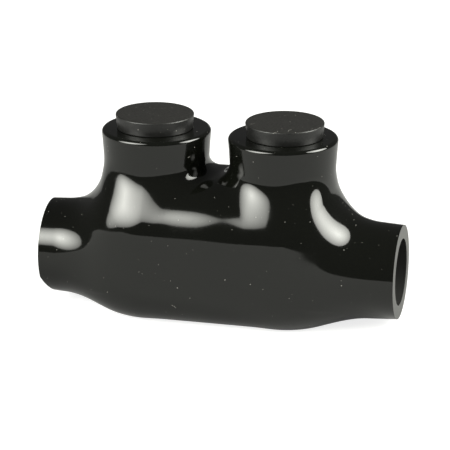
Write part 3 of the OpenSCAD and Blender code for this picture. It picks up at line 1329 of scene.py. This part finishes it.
@dataclass(frozen=True)
class Looks:
    """Every finish of the connector."""

    dipped: Finish
    cut: Finish = CutVinyl()
    # Painted light: the inside's grey, far paler than the black vinyl, stands in for the lamps' light
    # mirrored in the bores.
    inside: Finish = MouldVinyl(
        "mandrel_side_vinyl_painted_light", "#343433", rough=0.2, grain=0.6, grain_depth=0.004, dust=Dust(share=0.3)
    )
    # The plug's film lightens its top: partly dust, partly painted light from above.
    plug: Finish = MouldVinyl(
        "moulded_plug_vinyl", "#121211", rough=0.4, grain=0.55, grain_depth=0.03,
        dust=Dust(speck=0.14, share=0.8, top_haze_and_light=0.03),
    )
    extruded: Finish = Aluminium(
        "extruded_tinned_aluminium", rough=(0.25, 0.4), stretch=(0.03, 1.0, 1.0),
        streak=0.3, streak_depth=0.004,
    )
    sawn: Finish = Aluminium(
        "sawn_aluminium", rough=(0.3, 0.5), stretch=(1.0, 0.06, 1.0), streak=0.4, streak_depth=0.01
    )
    machined: Finish = Aluminium(
        "machined_aluminium", rough=(0.2, 0.35), stretch=(0.3, 0.3, 1.0), streak=0.12, streak_depth=0.003
    )


def way_out(turn_deg: float, rise_deg: float) -> Vector:
    """Way from the aim to a lamp or the camera: turned from the front about Z, and raised from the floor."""
    turn, rise = math.radians(turn_deg), math.radians(rise_deg)
    return Vector((math.sin(turn) * math.cos(rise), -math.cos(turn) * math.cos(rise), math.sin(rise)))


@dataclass(frozen=True)
class Softbox:
    """An oval studio lamp that faces the connector, brighter in its middle than at its rim."""

    name: str
    turn_deg: float
    rise_deg: float
    width: float
    height: float
    watts: float
    rim: float
    roll_deg: float = 0.0
    away: float = 900.0
    colour: str = "#fefff7"

    def build(self, aim: Vector) -> None:
        """Hangs the lamp, rolled about its own axis, and faces it to the aim.

        Args:
            aim: Point that it faces, in metres.
        """
        light = bpy.data.lights.new(self.name, "AREA")
        light.shape = "ELLIPSE"
        light.size, light.size_y = self.width * MM, self.height * MM
        light.energy = self.watts
        add = node_adder(light)
        spot = add("NewGeometry").outputs["Parametric"]
        off = add("VectorMath", {0: spot, 1: (0.5, 0.5, 0.0)}, operation="DISTANCE")
        level = add("MapRange", {0: off.outputs["Value"], 1: 0.0, 2: 0.5, 3: 1.0, 4: self.rim})
        glow = add("Emission", {"Color": linear(self.colour), "Strength": level})
        add("OutputLight", {"Surface": glow})
        way = way_out(self.turn_deg, self.rise_deg)
        lamp = bpy.data.objects.new(self.name, light)
        lamp.location = aim + way * self.away * MM
        roll = Quaternion((0.0, 0.0, 1.0), math.radians(self.roll_deg))
        lamp.rotation_euler = (way.to_track_quat("Z", "Y") @ roll).to_euler()
        bpy.context.scene.collection.objects.link(lamp)


@dataclass(frozen=True)
class PhotoCamera:
    """Camera at the photograph's angle, fitted to the outlines and circles in its square frame."""

    turn_deg: float = 13.874
    rise_deg: float = 18.775
    away: float = 610.362
    sensor: float = 36.0
    lens: float = 195.3
    shift: Pair = (0.0122, -0.0212)
    clip: Pair = (10.0, 20000.0)

    def build(self, aim: Vector) -> None:
        """Places the camera on a sphere about the aim and looks at it.

        Args:
            aim: Point that the fit turns about, in metres.
        """
        lens = bpy.data.cameras.new("photo_camera")
        lens.sensor_width, lens.lens = self.sensor, self.lens
        lens.shift_x, lens.shift_y = self.shift
        lens.clip_start, lens.clip_end = self.clip[0] * MM, self.clip[1] * MM
        way = way_out(self.turn_deg, self.rise_deg)
        camera = bpy.data.objects.new("photo_camera", lens)
        camera.location = aim + way * self.away * MM
        camera.rotation_euler = way.to_track_quat("Z", "Y").to_euler()
        bpy.context.scene.collection.objects.link(camera)
        bpy.context.scene.camera = camera


@dataclass(frozen=True)
class Studio:
    """White sweep, two softboxes in a dim room, and the camera."""

    aim: Vector
    camera: PhotoCamera = PhotoCamera()
    boxes: tuple[Softbox, ...] = (
        Softbox(
            "left_softbox", turn_deg=-42.4, rise_deg=25.3, roll_deg=39.3,
            width=1102.0, height=674.0, watts=34.0, rim=0.15,
        ),
        Softbox(
            "right_softbox", turn_deg=93.3, rise_deg=29.8,
            width=760.0, height=800.0, watts=30.0, rim=0.3,
        ),
    )
    floor_x: Pair = (-700.0, 330.0)
    floor_y: Pair = (-207.0, 900.0)
    floor_z: float = -0.02
    room: float = 0.08
    glow: float = 0.8
    mirrored: float = 0.1
    white: str = "#ffffff"
    pale: str = "#a8a8a8"

    def sweep_level(self, add: Adder, seen: float, mirrored: float) -> Node:
        """Makes the level at which the white sweep shines, by the kind of ray that meets it.

        Args:
            add: Adds a node to the floor or the world.
            seen: Level for the eye, straight or through something clear.
            mirrored: Level in mirrored rays.

        Returns:
            The node that holds the level, which is 0 for rays that light the connector.
        """
        path = add("LightPath").outputs
        clear = add("Math", {0: path["Is Camera Ray"], 1: path["Is Transmission Ray"]}, operation="MAXIMUM")
        mirror = add("Math", {0: path["Is Glossy Ray"], 1: mirrored}, operation="MULTIPLY")
        return add("Math", {0: clear, 1: seen, 2: mirror}, operation="MULTIPLY_ADD")

    def floor(self) -> None:
        """Lays the pale floor: a matt sheet that glows white for the eye, and a little in mirrored rays."""
        finish = bpy.data.materials.new("pale_floor")
        add = node_adder(finish)
        level = self.sweep_level(add, self.glow, self.mirrored)
        glow = add("Emission", {"Color": linear(self.white), "Strength": level})
        matt = add("BsdfDiffuse", {"Color": linear(self.pale)})
        both = add("AddShader", {0: glow, 1: matt})
        add("OutputMaterial", {"Surface": both})
        corners = [[(x, y, self.floor_z) for y in self.floor_y] for x in self.floor_x]
        sheet = Draft().sheet(np.array(corners)).to_object("pale_floor", 1)
        sheet.data.materials[0] = finish

    def surroundings(self) -> None:
        """Makes the world: white to the eye, and to other rays the dim room that the vinyl mirrors."""
        world = bpy.data.worlds.new("white_sweep")
        bpy.context.scene.world = world
        add = node_adder(world)
        level = add("Math", {0: self.sweep_level(add, 1.0, 0.0), 1: self.room}, operation="ADD")
        back = add("Background", {"Color": linear(self.white), "Strength": level})
        add("OutputWorld", {"Surface": back})

    def build(self) -> None:
        """Sets the stage, the lamps and the camera."""
        bpy.context.scene.view_settings.view_transform = "Standard"
        self.floor()
        self.surroundings()
        for box in self.boxes:
            box.build(self.aim)
        self.camera.build(self.aim)
        log.info("studio: %d softboxes, camera %.0f mm away", len(self.boxes), self.camera.away)


def box_mm(node: str) -> tuple[Array, Array]:
    """Lowest and highest corner of a node of the frame, in millimetres."""
    low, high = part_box(node)
    return np.array(low) / MM, np.array(high) / MM


def main() -> None:
    """Builds the connector piece by piece and dresses it."""
    logging.basicConfig(level=logging.INFO, format="%(name)s: %(message)s")
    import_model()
    cover_low, cover_high = box_mm("insulating_cover")
    bar = BarForm(*box_mm("connector_block"))
    plugs = {side: box_mm(f"{side.word}_access_plug") for side in Side}
    hole_x = {side: float(low[0] + high[0]) / 2.0 for side, (low, high) in plugs.items()}
    middle_x = sum(hole_x.values()) / 2.0
    skin_draw, end_skin, axis_z, aim_z = 0.8, 4.45, 13.75, 24.75
    form = SkinForm(
        tower_x=(hole_x[Side.RIGHT] - hole_x[Side.LEFT] - skin_draw) / 2.0,
        rim_z=float(cover_high[2]),
        bar_half=bar.half + end_skin,
        port_axis_z=axis_z,
    )
    reach = {Side.LEFT: middle_x - float(cover_low[0]), Side.RIGHT: float(cover_high[0]) - middle_x}
    thread = Thread()
    looks = Looks(DippedVinyl(middle=middle_x))
    pieces = [
        Cover(form, bar, middle_x, reach, hole_x),
        Block(bar, middle_x, hole_x, axis_z, thread),
        *(SetScrew(side, *box_mm(f"{side.word}_set_screw"), thread) for side in Side),
        *(Plug(side, *plugs[side], form.rim_z) for side in Side),
    ]
    for maker in pieces:
        maker.dress(maker.build(), looks)
    Studio(aim=Vector((middle_x, 0.0, aim_z)) * MM).build()


if __name__ == "__main__":
    main()
